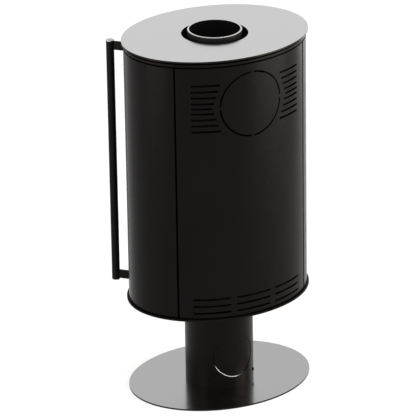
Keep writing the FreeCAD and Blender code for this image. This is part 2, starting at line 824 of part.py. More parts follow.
def ash_pan():
    z0 = BOX_BOTTOM + BOX_WALL
    sheet = PAN_SHEET
    lip_z = z0 + PAN_LIP_Z
    lip_top = lip_z + PAN_LIP_SHEET
    outer = box(-PAN_HALF, PAN_HALF, PAN_FRONT, PAN_BACK, z0, z0 + PAN_TALL)
    inner = box(-PAN_HALF + sheet, PAN_HALF - sheet, PAN_FRONT + sheet, PAN_BACK - sheet, z0 + sheet,
                z0 + PAN_TALL + PAST)
    lip = box(-PAN_HALF, PAN_HALF, PAN_LIP_FRONT, PAN_FRONT + sheet, lip_z, lip_top)
    pull = box(-PAN_PULL_HALF, PAN_PULL_HALF, PAN_LIP_FRONT - PAN_LIP_SHEET, PAN_LIP_FRONT,
               z0 + PAN_PULL_LOW, lip_top)
    return fuse([outer.cut(inner), lip, pull])


def air_box():
    """A sheet box on the body floor that feeds the primary tube, the air-wash ducts and the shutter."""
    sheet = AIR_BOX_SHEET
    lid = AIR_BOX_TOP - sheet
    outer = box(-AIR_BOX_HALF, AIR_BOX_HALF, AIR_BOX_FRONT, AIR_BOX_BACK, BODY_FLOOR_TOP, AIR_BOX_TOP)
    inner = box(-AIR_BOX_HALF + sheet, AIR_BOX_HALF - sheet, AIR_BOX_FRONT + sheet,
                AIR_BOX_BACK - sheet, BODY_FLOOR_TOP - PAST, lid)
    cuts = [inner, hole(PRIMARY_R - PRIMARY_WALL, lid, AIR_BOX_TOP, PRIMARY_PLACE)]
    cuts.append(hole(PORT_R, lid, AIR_BOX_TOP, PORT_PLACE))
    half = DUCT_HALF - DUCT_SHEET
    for x in (-DUCT_X, DUCT_X):
        cuts.append(box(x - half, x + half, BOX_BACK + DUCT_SHEET, DUCT_BACK - DUCT_SHEET, lid - PAST,
                        AIR_BOX_TOP + PAST))
    return outer.cut(cuts)


def primary_air_tube():
    return tube(PRIMARY_R, PRIMARY_R - PRIMARY_WALL, AIR_BOX_TOP, BOX_BOTTOM, PRIMARY_PLACE)


def airwash_ducts():
    ducts = []
    top = BOX_TOP - DUCT_TOP_GAP
    half = DUCT_HALF - DUCT_SHEET
    for x in (-DUCT_X, DUCT_X):
        outer = box(x - DUCT_HALF, x + DUCT_HALF, BOX_BACK, DUCT_BACK, AIR_BOX_TOP, top)
        inner = box(x - half, x + half, BOX_BACK + DUCT_SHEET, DUCT_BACK - DUCT_SHEET,
                    AIR_BOX_TOP - PAST, top - DUCT_SHEET)
        ducts.append(outer.cut(inner))
    return group(ducts)


def heat_shield():
    """A sheet between the firebox and the rear panel, on two feet."""
    y0 = SHIELD_Y
    y1 = SHIELD_Y + SHIELD_SHEET
    sheet = box(-SHIELD_HALF, SHIELD_HALF, y0, y1, SHIELD_BOTTOM, SHIELD_TOP)
    pieces = [sheet.cut(rod_to_rear(KNOCKOUT_R, y0 - PAST, y1 + PAST, 0, FLUE_Z))]
    for x in (-SHIELD_FOOT_X, SHIELD_FOOT_X):
        x0 = x - SHIELD_FOOT_HALF
        x1 = x + SHIELD_FOOT_HALF
        pieces.append(box(x0, x1, y0, y1, BODY_FLOOR_TOP, SHIELD_BOTTOM + PAST))
        pieces.append(box(x0, x1, y0, y0 + SHIELD_FOOT_LENGTH, BODY_FLOOR_TOP,
                          BODY_FLOOR_TOP + SHIELD_SHEET))
    return fuse(pieces)


def shutter_top():
    return AIR_BOX_TOP - AIR_BOX_SHEET - SHUTTER_GAP


def air_pivot_pin():
    return rod(PIVOT_R, BODY_FLOOR_BOTTOM - PIVOT_BELOW, shutter_top(), (0, PIVOT_Y))


def air_lever():
    z1 = BODY_FLOOR_BOTTOM - LEVER_GAP
    z0 = z1 - LEVER_THICK
    end = PIVOT_Y - LEVER_REACH
    hub = rod(LEVER_HUB_R, z0, z1, (0, PIVOT_Y))
    arm = box(-LEVER_HALF, LEVER_HALF, end, PIVOT_Y, z0, z1)
    tip = rod(LEVER_HALF, z0, z1, (0, end))
    return fuse([hub, arm, tip]).cut(hole(PIVOT_R, z0, z1, (0, PIVOT_Y)))


def air_knob():
    top = BODY_FLOOR_BOTTOM - LEVER_GAP - LEVER_THICK
    centre = (0, PIVOT_Y - LEVER_REACH)
    stem = rod(KNOB_STEM_R, top - KNOB_STEM, top, centre)
    grip = rod(KNOB_R, top - KNOB_STEM - KNOB_TALL, top - KNOB_STEM, centre)
    ends = [edge for edge in grip.Edges if edge.BoundBox.ZLength < PAST]
    return fuse([stem, grip.makeFillet(KNOB_ROUND, ends)])


def air_shutter():
    """A sector of a disc that slides over the port in the lid of the air box."""
    z1 = shutter_top()
    z0 = z1 - SHUTTER_THICK
    corners = [V(0, PIVOT_Y - SHUTTER_HUB_R, z0), V(SHUTTER_SPREAD, PIVOT_Y + SHUTTER_LENGTH, z0),
               V(-SHUTTER_SPREAD, PIVOT_Y + SHUTTER_LENGTH, z0)]
    sector = Part.Face(Part.makePolygon(corners + corners[:1])).extrude(V(0, 0, SHUTTER_THICK))
    blade = rod(SHUTTER_R, z0, z1, (0, PIVOT_Y)).common(sector)
    plate = fuse([blade, rod(SHUTTER_HUB_R, z0, z1, (0, PIVOT_Y))])
    return plate.cut(hole(PIVOT_R, z0, z1, (0, PIVOT_Y)))


def door_skin():
    skin = folded_sheet(180 + DOOR_SEAM_DEG, 360 - DOOR_SEAM_DEG, DOOR_SKIN, HINGE_FOLD, RETURN_DEPTH)
    cuts = [wedge(180 + WINDOW_DEG, 360 - WINDOW_DEG, WINDOW_BOTTOM, WINDOW_TOP)]
    for z in bracket_heights():
        cuts.append(bracket_bar(z, -BRACKET_SLOT_DEPTH, BRACKET_SLOT_DEPTH))
    return skin.cut(cuts)


def door_frame():
    """Inner frame of the door that carries the sealing rope."""
    return curved_frame(180 + DOOR_FRAME_DEG, 360 - DOOR_FRAME_DEG, DOOR_FRAME_WIDTH_DEG,
                        DOOR_FRAME_WIDTH, DOOR_SKIN, DOOR_FRAME_DEPTH - DOOR_SKIN,
                        DOOR_FRAME_BOTTOM, DOOR_FRAME_TOP)


def door_gasket():
    start = 180 + DOOR_FRAME_DEG + ROPE_INSET_DEG
    end = 360 - DOOR_FRAME_DEG - ROPE_INSET_DEG
    return curved_frame(start, end, DOOR_FRAME_WIDTH_DEG - 2 * ROPE_INSET_DEG,
                        DOOR_FRAME_WIDTH - 2 * ROPE_INSET, DOOR_FRAME_DEPTH,
                        ROPE_DEPTH - DOOR_FRAME_DEPTH, DOOR_FRAME_BOTTOM + ROPE_INSET,
                        DOOR_FRAME_TOP - ROPE_INSET)


def door_glass():
    return curved_panel(180 + GLASS_DEG, 360 - GLASS_DEG, GLASS_DEPTH, GLASS_THICK, GLASS_BOTTOM,
                        GLASS_TOP)


def glass_gasket():
    return curved_frame(180 + GLASS_DEG, 360 - GLASS_DEG, GLASS_ROPE_DEG, GLASS_ROPE, DOOR_SKIN,
                        GLASS_DEPTH - DOOR_SKIN, GLASS_BOTTOM, GLASS_TOP)


def glass_clips():
    """Bent strips that reach round the glass edge from the door skin."""
    clips = []
    back = GLASS_DEPTH + GLASS_THICK
    low_foot = GLASS_BOTTOM - CLIP_GAP
    high_foot = GLASS_TOP + CLIP_GAP
    rows = ((low_foot - CLIP_FOOT, GLASS_BOTTOM + CLIP_LAP, low_foot - CLIP_FOOT),
            (GLASS_TOP - CLIP_LAP, high_foot + CLIP_FOOT, high_foot))
    for z0, z1, foot_z in rows:
        for deg in CLIP_DEG:
            start = deg - CLIP_HALF_DEG
            end = deg + CLIP_HALF_DEG
            strip = curved_panel(start, end, back, CLIP_SHEET, z0, z1)
            foot = curved_panel(start, end, DOOR_SKIN, back + CLIP_SHEET - DOOR_SKIN, foot_z,
                                foot_z + CLIP_FOOT)
            clips.append(fuse([strip, foot]))
    return group(clips)


def hinge_blocks():
    start = 180 + DOOR_SEAM_DEG
    start = start + degrees_for(SEAM / 2, start)
    blocks = []
    for z0 in (PANEL_BOTTOM, PANEL_TOP - HINGE_BLOCK):
        z1 = z0 + HINGE_BLOCK
        block = local_block(start, DOOR_SKIN + HINGE_BLOCK_GAP, HINGE_BLOCK_DEPTH, HINGE_BLOCK_START,
                            HINGE_BLOCK_END, z0, z1)
        blocks.append(block.cut(hole(HINGE_PIN_R + RUNNING_FIT, z0, z1, hinge_centre())))
    return group(blocks)


def hinge_pins():
    low = rod(HINGE_PIN_R, BODY_FLOOR_BOTTOM, PANEL_BOTTOM + HINGE_PIN_REACH, hinge_centre())
    high = rod(HINGE_PIN_R, PANEL_TOP - HINGE_PIN_REACH, BAND_TOP, hinge_centre())
    return group([low, high])


def rod_centre():
    place, normal = on_oval(360 - HANDLE_DEG, -HANDLE_STANDOFF)
    return (place.x, place.y)


def bracket_heights():
    return (ROD_BOTTOM + BRACKET_INSET, ROD_TOP - BRACKET_INSET - BRACKET_TALL)


def bracket_block(z, depth0, depth1, half):
    return local_block(360 - HANDLE_DEG, depth0, depth1, -half, half, z, z + BRACKET_TALL)


def bracket_bar(z, depth0, depth1):
    return bracket_block(z, depth0, depth1, BRACKET_THICK / 2)


def handle_brackets():
    brackets = []
    foot_depth = DOOR_SKIN + BRACKET_FOOT_GAP
    for z in bracket_heights():
        bar = bracket_bar(z, -HANDLE_STANDOFF, foot_depth)
        foot = bracket_block(z, foot_depth, foot_depth + BRACKET_FOOT_SHEET, BRACKET_FOOT_HALF)
        brackets.append(fuse([bar, foot]).cut(hole(ROD_R, z, z + BRACKET_TALL, rod_centre())))
    return group(brackets)


def handle_rod():
    return rod(ROD_R, ROD_BOTTOM, ROD_TOP - CAP_THICK, rod_centre())


def handle_caps():
    low = rod(ROD_R - CAP_STEP, ROD_BOTTOM - CAP_THICK, ROD_BOTTOM, rod_centre())
    high = rod(ROD_R - CAP_STEP, ROD_TOP - CAP_THICK, ROD_TOP, rod_centre())
    return group([low, high])


def catch_block(depth0, depth1, along0, along1, half_height):
    """A block of the door catch, placed from the seam on the handle side."""
    return local_block(360 - DOOR_SEAM_DEG, depth0, depth1, along0, along1,
                       CATCH_Z - half_height, CATCH_Z + half_height)


def catch_roller_centre():
    edge, normal = on_oval(360 - DOOR_SEAM_DEG, CATCH_DEPTH)
    place = edge + UP.cross(normal) * CATCH_ALONG
    return (place.x, place.y)


def catch_tongue():
    end = CATCH_ALONG - ROLLER_R - TONGUE_GAP
    plate = catch_block(TONGUE_DEPTH[0], TONGUE_DEPTH[1], end - TONGUE_SHEET, end, TONGUE_HALF)
    foot = curved_panel(TONGUE_FOOT_DEG[0], TONGUE_FOOT_DEG[1], DOOR_SKIN, TONGUE_FOOT_SHEET,
                        CATCH_Z - TONGUE_FOOT_HALF, CATCH_Z + TONGUE_FOOT_HALF)
    return fuse([plate, foot])


def catch_roller():
    half = CATCH_HALF - CATCH_SHEET - ROLLER_END_GAP
    return tube(ROLLER_R, ROLLER_PIN_R + RUNNING_FIT, CATCH_Z - half, CATCH_Z + half,
                catch_roller_centre())


def catch_bracket():
    """Two cheeks that reach forward from the post, with the roller's pin between them."""
    back = POST_DEPTH + POST_SHEET
    cheeks = catch_block(CATCH_CHEEK_DEPTH, back, CATCH_CHEEK_START, CATCH_CHEEK_END, CATCH_HALF)
    gap = catch_block(CATCH_CHEEK_DEPTH - PAST, back + PAST, CATCH_CHEEK_START - PAST,
                      CATCH_CHEEK_END + PAST, CATCH_HALF - CATCH_SHEET)
    plate = catch_block(back, back + CATCH_SHEET, CATCH_CHEEK_START, CATCH_BACK_END, CATCH_HALF)
    pin = rod(ROLLER_PIN_R, CATCH_Z - CATCH_HALF, CATCH_Z + CATCH_HALF, catch_roller_centre())
    return fuse([cheeks.cut(gap), plate, pin])


NODES = {
    "base_plate": base_plate,
    "pedestal_tube": pedestal_tube,
    "pedestal_air_cover": pedestal_air_cover,
    "pedestal_set_screws": pedestal_set_screws,
    "pedestal_base_ring": pedestal_base_ring,
    "pedestal_top_ring": pedestal_top_ring,
    "pedestal_top_bolts": pedestal_top_bolts,
    "air_spigot": air_spigot,
    "bottom_plate": bottom_plate,
    "corner_posts": corner_posts,
    "top_frame": top_frame,
    "top_plate_spacers": top_plate_spacers,
    "top_frame_screws": top_frame_screws,
    "top_plate": top_plate,
    "rear_panel": rear_panel,
    "left_side_panel": left_side_panel,
    "right_side_panel": right_side_panel,
    "flue_collar": flue_collar,
    "collar_bolts": collar_bolts,
    "firebox_floor": firebox_floor,
    "firebox_roof": firebox_roof,
    "firebox_sides": firebox_sides,
    "firebox_back": firebox_back,
    "firebox_hearth": firebox_hearth,
    "firebox_front": firebox_front,
    "firebox_supports": firebox_supports,
    "rear_flue_blank": rear_flue_blank,
    "rear_blank_bolts": rear_blank_bolts,
    "back_liner": back_liner,
    "left_liner": left_liner,
    "right_liner": right_liner,
    "floor_liner": floor_liner,
    "baffle": baffle,
    "grate": grate,
    "log_retainer": log_retainer,
    "ash_pan": ash_pan,
    "air_box": air_box,
    "primary_air_tube": primary_air_tube,
    "airwash_ducts": airwash_ducts,
    "heat_shield": heat_shield,
    "air_pivot_pin": air_pivot_pin,
    "air_lever": air_lever,
    "air_knob": air_knob,
    "air_shutter": air_shutter,
    "door_skin": door_skin,
    "door_frame": door_frame,
    "door_gasket": door_gasket,
    "door_glass": door_glass,
    "glass_gasket": glass_gasket,
    "glass_clips": glass_clips,
    "hinge_blocks": hinge_blocks,
    "hinge_pins": hinge_pins,
    "handle_rod": handle_rod,
    "handle_brackets": handle_brackets,
    "handle_caps": handle_caps,
    "catch_tongue": catch_tongue,
    "catch_roller": catch_roller,
    "catch_bracket": catch_bracket,
}

os.makedirs("parts", exist_ok=True)
for name, make in NODES.items():
    make().exportStep("parts/" + name + ".step")
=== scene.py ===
import json
import math

import bmesh
import bpy
from mathutils import Matrix, Vector


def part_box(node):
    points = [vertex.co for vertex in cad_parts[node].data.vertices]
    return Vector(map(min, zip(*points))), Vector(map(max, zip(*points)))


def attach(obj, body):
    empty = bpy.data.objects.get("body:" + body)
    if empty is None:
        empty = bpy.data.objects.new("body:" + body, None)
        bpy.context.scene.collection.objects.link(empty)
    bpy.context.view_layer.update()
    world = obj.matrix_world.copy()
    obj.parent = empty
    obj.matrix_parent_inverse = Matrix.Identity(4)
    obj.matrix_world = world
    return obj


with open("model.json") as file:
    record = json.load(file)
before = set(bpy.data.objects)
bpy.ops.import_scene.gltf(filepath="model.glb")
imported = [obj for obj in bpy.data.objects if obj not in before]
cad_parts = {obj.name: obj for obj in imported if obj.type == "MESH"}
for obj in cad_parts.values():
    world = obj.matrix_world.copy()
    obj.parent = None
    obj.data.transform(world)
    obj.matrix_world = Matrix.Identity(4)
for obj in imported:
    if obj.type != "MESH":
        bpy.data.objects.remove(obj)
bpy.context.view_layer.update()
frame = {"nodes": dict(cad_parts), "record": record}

SCENE = bpy.context.scene
MM = 0.001
UP = Vector((0.0, 0.0, 1.0))

# Half the width and half the depth of the body's oval, outside its panels.
PANELS = ("rear_panel", "left_side_panel", "right_side_panel", "door_skin")
BODY_A = max(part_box(node)[1].x for node in PANELS)
BODY_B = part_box("rear_panel")[1].y

PEDESTAL_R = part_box("pedestal_tube")[1].x
COLLAR_BORE_R = 74.3 * MM

# The tint of the sheen on black stove paint, and how strong that sheen is.
PAINT_TINT = (1.0, 0.93, 0.89, 1.0)
PAINT_SHEEN = 0.057


# ---------------------------------------------------------------- materials

class Mat:
    """A principled material and short ways to add nodes to it."""

    def __init__(self, name, **sockets):
        self.mat = bpy.data.materials.new(name)
        self.mat.use_nodes = True
        self.tree = self.mat.node_tree
        self.bsdf = self.tree.nodes["Principled BSDF"]
        for key, value in sockets.items():
            self.bsdf.inputs[key.replace("_", " ")].default_value = value
        self.coords = self.node("ShaderNodeTexCoord").outputs["Object"]

    def node(self, kind, **settings):
        node = self.tree.nodes.new(kind)
        for key, value in settings.items():
            setattr(node, key, value)
        return node

    def link(self, source, target):
        self.tree.links.new(source, target)

    def stretched(self, scale):
        mapping = self.node("ShaderNodeMapping")
        mapping.inputs["Scale"].default_value = scale
        self.link(self.coords, mapping.inputs["Vector"])
        return mapping.outputs["Vector"]

    def noise(self, scale, detail=2.0, vector=None):
        noise = self.node("ShaderNodeTexNoise")
        noise.inputs["Scale"].default_value = scale
        noise.inputs["Detail"].default_value = detail
        self.link(vector or self.coords, noise.inputs["Vector"])
        return noise.outputs["Fac"]

    def spread(self, value, low, high, start=0.3, end=0.7):
        """value from start to end becomes low to high."""
        ramp = self.node("ShaderNodeMapRange")
        for key, number in (("From Min", start), ("From Max", end), ("To Min", low), ("To Max", high)):
            ramp.inputs[key].default_value = number
        self.link(value, ramp.inputs["Value"])
        return ramp.outputs["Result"]

    def blend(self, factor, dark, light):
        mix = self.node("ShaderNodeMix", data_type="RGBA")
        for socket, value in ((mix.inputs["Factor"], factor), (mix.inputs[6], dark), (mix.inputs[7], light)):
            if hasattr(value, "is_linked"):
                self.link(value, socket)
            elif isinstance(value, (int, float)):
                socket.default_value = value
            else:
                socket.default_value = (*value, 1.0)
        return mix.outputs[2]

    def bump(self, height, distance, strength=1.0):
        bump = self.node("ShaderNodeBump")
        bump.inputs["Strength"].default_value = strength
        bump.inputs["Distance"].default_value = distance
        self.link(height, bump.inputs["Height"])
        self.link(bump.outputs["Normal"], self.bsdf.inputs["Normal"])

    def split(self, vector):
        """The X, Y and Z outputs of a vector."""
        parts = self.node("ShaderNodeSeparateXYZ")
        self.link(vector, parts.inputs["Vector"])
        return parts.outputs

    def math(self, operation, *values):
        """One sum on sockets or plain numbers."""
        node = self.node("ShaderNodeMath", operation=operation)
        for socket, value in zip(node.inputs, values):
            if hasattr(value, "is_linked"):
                self.link(value, socket)
            else:
                socket.default_value = value
        return node.outputs["Value"]

    def sum_of_squares(self, first, second):
        return self.math("ADD", self.math("POWER", first, 2.0), self.math("POWER", second, 2.0))

    def facing_up(self):
        """1 on faces that look up or down, 0 on upright ones."""
        normal = self.split(self.node("ShaderNodeNewGeometry").outputs["Normal"])
        return self.spread(self.math("ABSOLUTE", normal["Z"]), 0.0, 1.0, 0.6, 0.8)

    def outside_oval(self):
        """Roughly how far outside the body's oval a point lies, in metres."""
        place = self.split(self.coords)
        across = self.math("DIVIDE", place["X"], BODY_A)
        along = self.math("DIVIDE", place["Y"], BODY_B)
        past_edge = self.math("SUBTRACT", self.sum_of_squares(across, along), 1.0)
        return self.math("MULTIPLY", past_edge, BODY_B / 2)

    def distance_from_axis(self, x, y):
        """How far a point lies from the upright line through x, y, in metres."""
        place = self.split(self.coords)
        across = self.math("SUBTRACT", place["X"], x)
        along = self.math("SUBTRACT", place["Y"], y)
        return self.math("SQRT", self.sum_of_squares(across, along))

    def colour(self, source):
        self.link(source, self.bsdf.inputs["Base Color"])

    def rough(self, source):
        self.link(source, self.bsdf.inputs["Roughness"])

    def metallic(self, source):
        self.link(source, self.bsdf.inputs["Metallic"])

    def sheen(self, source):
        self.link(source, self.bsdf.inputs["Specular IOR Level"])


def stove_paint(name, tone, rough, grain):
    """Sprayed heat-proof paint: fine grain, faint blotches and a little unevenness in its sheen."""
    m = Mat(name, Specular_IOR_Level=PAINT_SHEEN, Specular_Tint=PAINT_TINT)
    dark = tuple(c * 0.8 for c in tone)
    light = tuple(c * 1.25 for c in tone)
    m.colour(m.blend(m.noise(9.0, 4.0), dark, light))
    m.rough(m.spread(m.noise(35.0, 5.0), rough - 0.04, rough + 0.05))
    m.bump(m.noise(1400.0, 3.0), grain, 0.35)
    return m.mat


def panel_paint_and_shade():
    """Stove paint on the body panels, with painted shade on cut edges, folds and inner faces: these get a
    dull black colour and almost no sheen, so seams and faces set into the panels stay dark.
    """
    m = Mat("panel_paint_and_shade", Specular_Tint=PAINT_TINT)
    # outside is 1 on the panels' outer skin and 0 on faces about a millimetre or more inside it. The
    # near-black colour and low sheen given to those inner faces are painted shade.
    outside = m.spread(m.outside_oval(), 0.0, 1.0, -1.2 * MM, -0.6 * MM)
    tone = m.blend(m.noise(9.0, 4.0), (0.0025, 0.0021, 0.0021), (0.0038, 0.0033, 0.0033))
    m.colour(m.blend(outside, (0.0012, 0.0011, 0.0010), tone))
    m.sheen(m.spread(outside, 0.01, 0.058, 0.0, 1.0))
    m.rough(m.spread(m.noise(35.0, 5.0), 0.22, 0.28))
    m.bump(m.noise(1400.0, 3.0), 0.0001, 0.35)
    return m.mat


def plate_steel(name, tone, rough):
    """Satin rolled plate with black painted edges."""
    m = Mat(name, Specular_IOR_Level=0.1)
    up = m.facing_up()
    brushed = m.noise(60.0, 4.0, m.stretched((1.0, 14.0, 14.0)))
    face = m.blend(brushed, (tone * 0.97,) * 3, (tone * 1.03,) * 3)
    m.colour(m.blend(up, (0.006, 0.0055, 0.005), face))
    m.metallic(up)
    m.rough(m.spread(brushed, rough - 0.03, rough + 0.04))
    m.bump(m.noise(500.0, 2.0, m.stretched((0.4, 4.0, 4.0))), 0.00003, 0.25)
    return m.mat


def cast_iron():
    """Cast iron painted black, with the rim turned bright; within the collar's bore and under it the sheen
    is cut to almost none, a painted shade that keeps the bore dark.
    """
    m = Mat("iron")
    low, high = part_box("flue_collar")
    rim_height = m.spread(m.split(m.coords)["Z"], 0.0, 1.0, high.z - 4 * MM, high.z - 3 * MM)
    on_rim = m.math("MULTIPLY", m.facing_up(), rim_height)
    from_axis = m.distance_from_axis((low.x + high.x) / 2, (low.y + high.y) / 2)
    outside_bore = m.spread(from_axis, 0.0, 1.0, COLLAR_BORE_R + 1 * MM, COLLAR_BORE_R + 3 * MM)
    # Painted shade: inside the bore's radius the sheen falls from 0.28 to 0.03, so the collar's bore, and
    # any iron under it, stays dark.
    m.sheen(m.spread(outside_bore, 0.03, 0.28, 0.0, 1.0))
    turned = m.blend(m.noise(300.0, 3.0), (0.60, 0.59, 0.58), (0.70, 0.69, 0.68))
    black = m.blend(m.noise(40.0, 4.0), (0.004, 0.004, 0.004), (0.009, 0.008, 0.008))
    m.colour(m.blend(on_rim, black, turned))
    m.metallic(on_rim)
    m.rough(m.spread(m.noise(120.0, 4.0), 0.36, 0.55))
    m.bump(m.noise(700.0, 4.0), 0.0002, 0.4)
    return m.mat


def bare_metal(name, tone, rough, streak=1.0):
    """Unpainted metal, with its grain drawn out along Z where streak is under 1."""
    m = Mat(name, Metallic=1.0)
    grain = m.noise(90.0, 4.0, m.stretched((1.0, 1.0, streak)))
    m.colour(m.blend(grain, tuple(c * 0.82 for c in tone), tone))
    m.rough(m.spread(grain, rough - 0.06, rough + 0.08))
    m.bump(m.noise(900.0, 3.0), 0.00004, 0.3)
    return m.mat


def firebrick():
    """Pressed vermiculite: flaky, speckled, dull."""
    m = Mat("firebrick", Specular_IOR_Level=0.2, Roughness=0.92)
    flakes = m.node("ShaderNodeTexVoronoi")
    flakes.inputs["Scale"].default_value = 330.0
    m.link(m.coords, flakes.inputs["Vector"])
    channels = m.node("ShaderNodeSeparateColor")
    m.link(flakes.outputs["Color"], channels.inputs["Color"])
    speck = m.blend(channels.outputs["Red"], (0.44, 0.35, 0.22), (0.74, 0.66, 0.50))
    m.colour(m.blend(m.spread(m.noise(6.0, 4.0), 0.0, 0.45), speck, (0.52, 0.45, 0.34)))
    m.bump(flakes.outputs["Distance"], 0.0006, 0.5)
    return m.mat


def rope():
    """Woven glass rope: two families of strands that cross."""
    m = Mat("rope", Specular_IOR_Level=0.25, Roughness=0.85, Sheen_Weight=0.3)
    waves = []
    for angle in (0.8, -0.8):
        turned = m.node("ShaderNodeMapping")
        turned.inputs["Rotation"].default_value = (angle, 0.0, angle)
        m.link(m.coords, turned.inputs["Vector"])
        wave = m.node("ShaderNodeTexWave")
        wave.inputs["Scale"].default_value = 150.0
        m.link(turned.outputs["Vector"], wave.inputs["Vector"])
        waves.append(wave.outputs["Fac"])
    strands = m.math("MAXIMUM", *waves)
    m.colour(m.blend(strands, (0.33, 0.32, 0.30), (0.66, 0.65, 0.62)))
    m.bump(strands, 0.0008, 0.8)
    return m.mat


def stove_glass():
    """Clear ceramic glass with a slight wave in its polish."""
    m = Mat("stove_glass", Base_Color=(0.93, 0.95, 0.92, 1.0), Transmission_Weight=1.0, IOR=1.47)
    m.rough(m.spread(m.noise(7.0, 3.0), 0.0, 0.04))
    return m.mat


MATERIALS = {
    "body_paint": stove_paint("body_paint", (0.0038, 0.0032, 0.0031), 0.32, 0.0001),
    "frame_paint": stove_paint("frame_paint", (0.006, 0.006, 0.006), 0.6, 0.00018),
    "handle_metal": stove_paint("handle_metal", (0.0045, 0.0042, 0.0042), 0.3, 0.00005),
    "plate_steel": plate_steel("plate_steel", 0.55, 0.2),
    # The base plate's steel is the plate steel made darker: a painted shade standing in for the base plate
    # being lit less than the top plate.
    "base_steel": plate_steel("base_steel", 0.39, 0.17),
    "iron": cast_iron(),
    "firebrick": firebrick(),
    "zinc": bare_metal("zinc", (0.62, 0.63, 0.65), 0.3),
    "sheet_steel": bare_metal("sheet_steel", (0.42, 0.42, 0.43), 0.38, 0.08),
    "glass": stove_glass(),
    "rope": rope(),
    "cap_metal": bare_metal("cap_metal", (0.50, 0.50, 0.50), 0.34),
}
PANEL_PAINT_AND_SHADE = panel_paint_and_shade()
for part in frame["record"]["subparts"]:
    slots = frame["nodes"][part["node"]].data.materials
    slots.clear()
    slots.append(PANEL_PAINT_AND_SHADE if part["node"] in PANELS else MATERIALS[part["material_slot"]])


# ---------------------------------------------------------------- small pieces

# The handle's place on the oval, and the height and half the thickness of its brackets.
HANDLE_DEG = 318.6
BRACKET_TALL = 26 * MM
BRACKET_HALF = 3 * MM

# Angles on the oval where the door glass starts and ends, and the depth of its inner face.
GLASS_DEG = (233.6, 306.4)
GLASS_BACK = 8.5 * MM
BORDER_TALL = 20 * MM
BORDER_FOOT = 26 * MM
BORDER_DEG = 5.0

# Clip screws: their angles, how far they sit from the ends of the clips, and the steps of a head
# with its recess, as depth and radius in millimetres.
SCREW_DEG = (244.0, 270.0, 296.0)
SCREW_INSET = 4 * MM
SCREW_DEPTH = 10 * MM
SCREW_PROFILE = ((0.0, 3.0), (0.7, 3.0), (1.5, 2.4), (1.9, 1.3), (1.5, 1.0), (0.9, 0.9))
SCREW_SIDES = 16

WELD_R = 1.3 * MM
WELD_STEPS = 26

# The outside-air inlet in the pedestal: its height, the radius of its hole, and the bare stretch of its lip.
INLET_Z = 104.4 * MM
INLET_R = 64.8 * MM
LIP_DEG = (-15.0, -116.0)
LIP_STEPS = 48

# The smoke deflector, in millimetres: a plate with two cut corners, and bolts that hang it from the roof
# and stop just short of it.
DEFLECTOR_LOW = 1000.0
DEFLECTOR_HIGH = 1003.0
DEFLECTOR_HALF = 142.0
DEFLECTOR_FRONT = -138.0
DEFLECTOR_BACK = 90.0
DEFLECTOR_CORNER = (24.0, 26.0)
DEFLECTOR_BOLT = (112.0, 62.0)
DEFLECTOR_BOLT_TOP = 1035.8


def on_oval(deg, depth=0.0):
    """A point in plan depth inside the body's oval, and the outward normal there."""
    turn = math.radians(deg)
    edge = Vector((BODY_A * math.cos(turn), BODY_B * math.sin(turn), 0.0))
    normal = Vector((math.cos(turn) / BODY_A, math.sin(turn) / BODY_B, 0.0)).normalized()
    return edge - normal * depth, normal


def piece(name, bm, material, body):
    """Turns a bmesh into an object that rides on a body."""
    bmesh.ops.recalc_face_normals(bm, faces=bm.faces)
    mesh = bpy.data.meshes.new(name)
    bm.to_mesh(mesh)
    bm.free()
    mesh.materials.append(material)
    obj = bpy.data.objects.new(name, mesh)
    SCENE.collection.objects.link(obj)
    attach(obj, body)
    return obj


def ribbon(bm, rings):
    """Skins a row of rings, which have equal numbers of corners, and caps its ends."""
    loops = [[bm.verts.new(point) for point in ring] for ring in rings]
    for here, there in zip(loops, loops[1:]):
        sides = len(here)
        for k in range(sides):
            bm.faces.new((here[k], here[(k + 1) % sides], there[(k + 1) % sides], there[k]))
    bm.faces.new(loops[0])
    bm.faces.new(loops[-1])


def curved_block(bm, deg0, deg1, depth0, depth1, z0, z1, steps=24):
    """A block that follows the oval between two angles, two depths and two heights."""
    rings = []
    for i in range(steps + 1):
        deg = deg0 + (deg1 - deg0) * i / steps
        outer = on_oval(deg, depth0)[0]
        inner = on_oval(deg, depth1)[0]
        rings.append([(outer.x, outer.y, z0), (inner.x, inner.y, z0), (inner.x, inner.y, z1),
                      (outer.x, outer.y, z1)])
    ribbon(bm, rings)


def glass_border():
    """The black border printed round the inner face of the door glass."""
    low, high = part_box("door_glass")
    start, end = GLASS_DEG
    foot = low.z + BORDER_FOOT
    head = high.z - BORDER_TALL
    depths = (GLASS_BACK + 0.03 * MM, GLASS_BACK + 0.12 * MM)
    bm = bmesh.new()
    curved_block(bm, start, end, *depths, low.z, foot)
    curved_block(bm, start, end, *depths, head, high.z)
    for deg0, deg1 in ((start, start + BORDER_DEG), (end - BORDER_DEG, end)):
        curved_block(bm, deg0, deg1, *depths, foot, head, steps=4)
    m = Mat("ceramic_print", Specular_IOR_Level=0.3)
    m.colour(m.blend(m.noise(400.0, 3.0), (0.006, 0.006, 0.006), (0.012, 0.012, 0.012)))
    m.rough(m.spread(m.noise(60.0, 3.0), 0.35, 0.5))
    return piece("glass_border", bm, m.mat, "door")


def screw_ring(centre, normal, radius):
    """A circle of points that faces along normal."""
    across = UP.cross(normal)
    ring = []
    for k in range(SCREW_SIDES):
        turn = 2 * math.pi * k / SCREW_SIDES
        ring.append(centre + (across * math.cos(turn) + UP * math.sin(turn)) * radius)
    return ring


def clip_screws():
    """Pan-head screws through the feet of the glass clips."""
    low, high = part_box("glass_clips")
    bm = bmesh.new()
    for z in (low.z + SCREW_INSET, high.z - SCREW_INSET):
        for deg in SCREW_DEG:
            foot, normal = on_oval(deg, SCREW_DEPTH)
            centre = foot + UP * z
            ribbon(bm, [screw_ring(centre - normal * depth * MM, normal, radius * MM)
                        for depth, radius in SCREW_PROFILE])
    return piece("clip_screws", bm, MATERIALS["zinc"], "door")


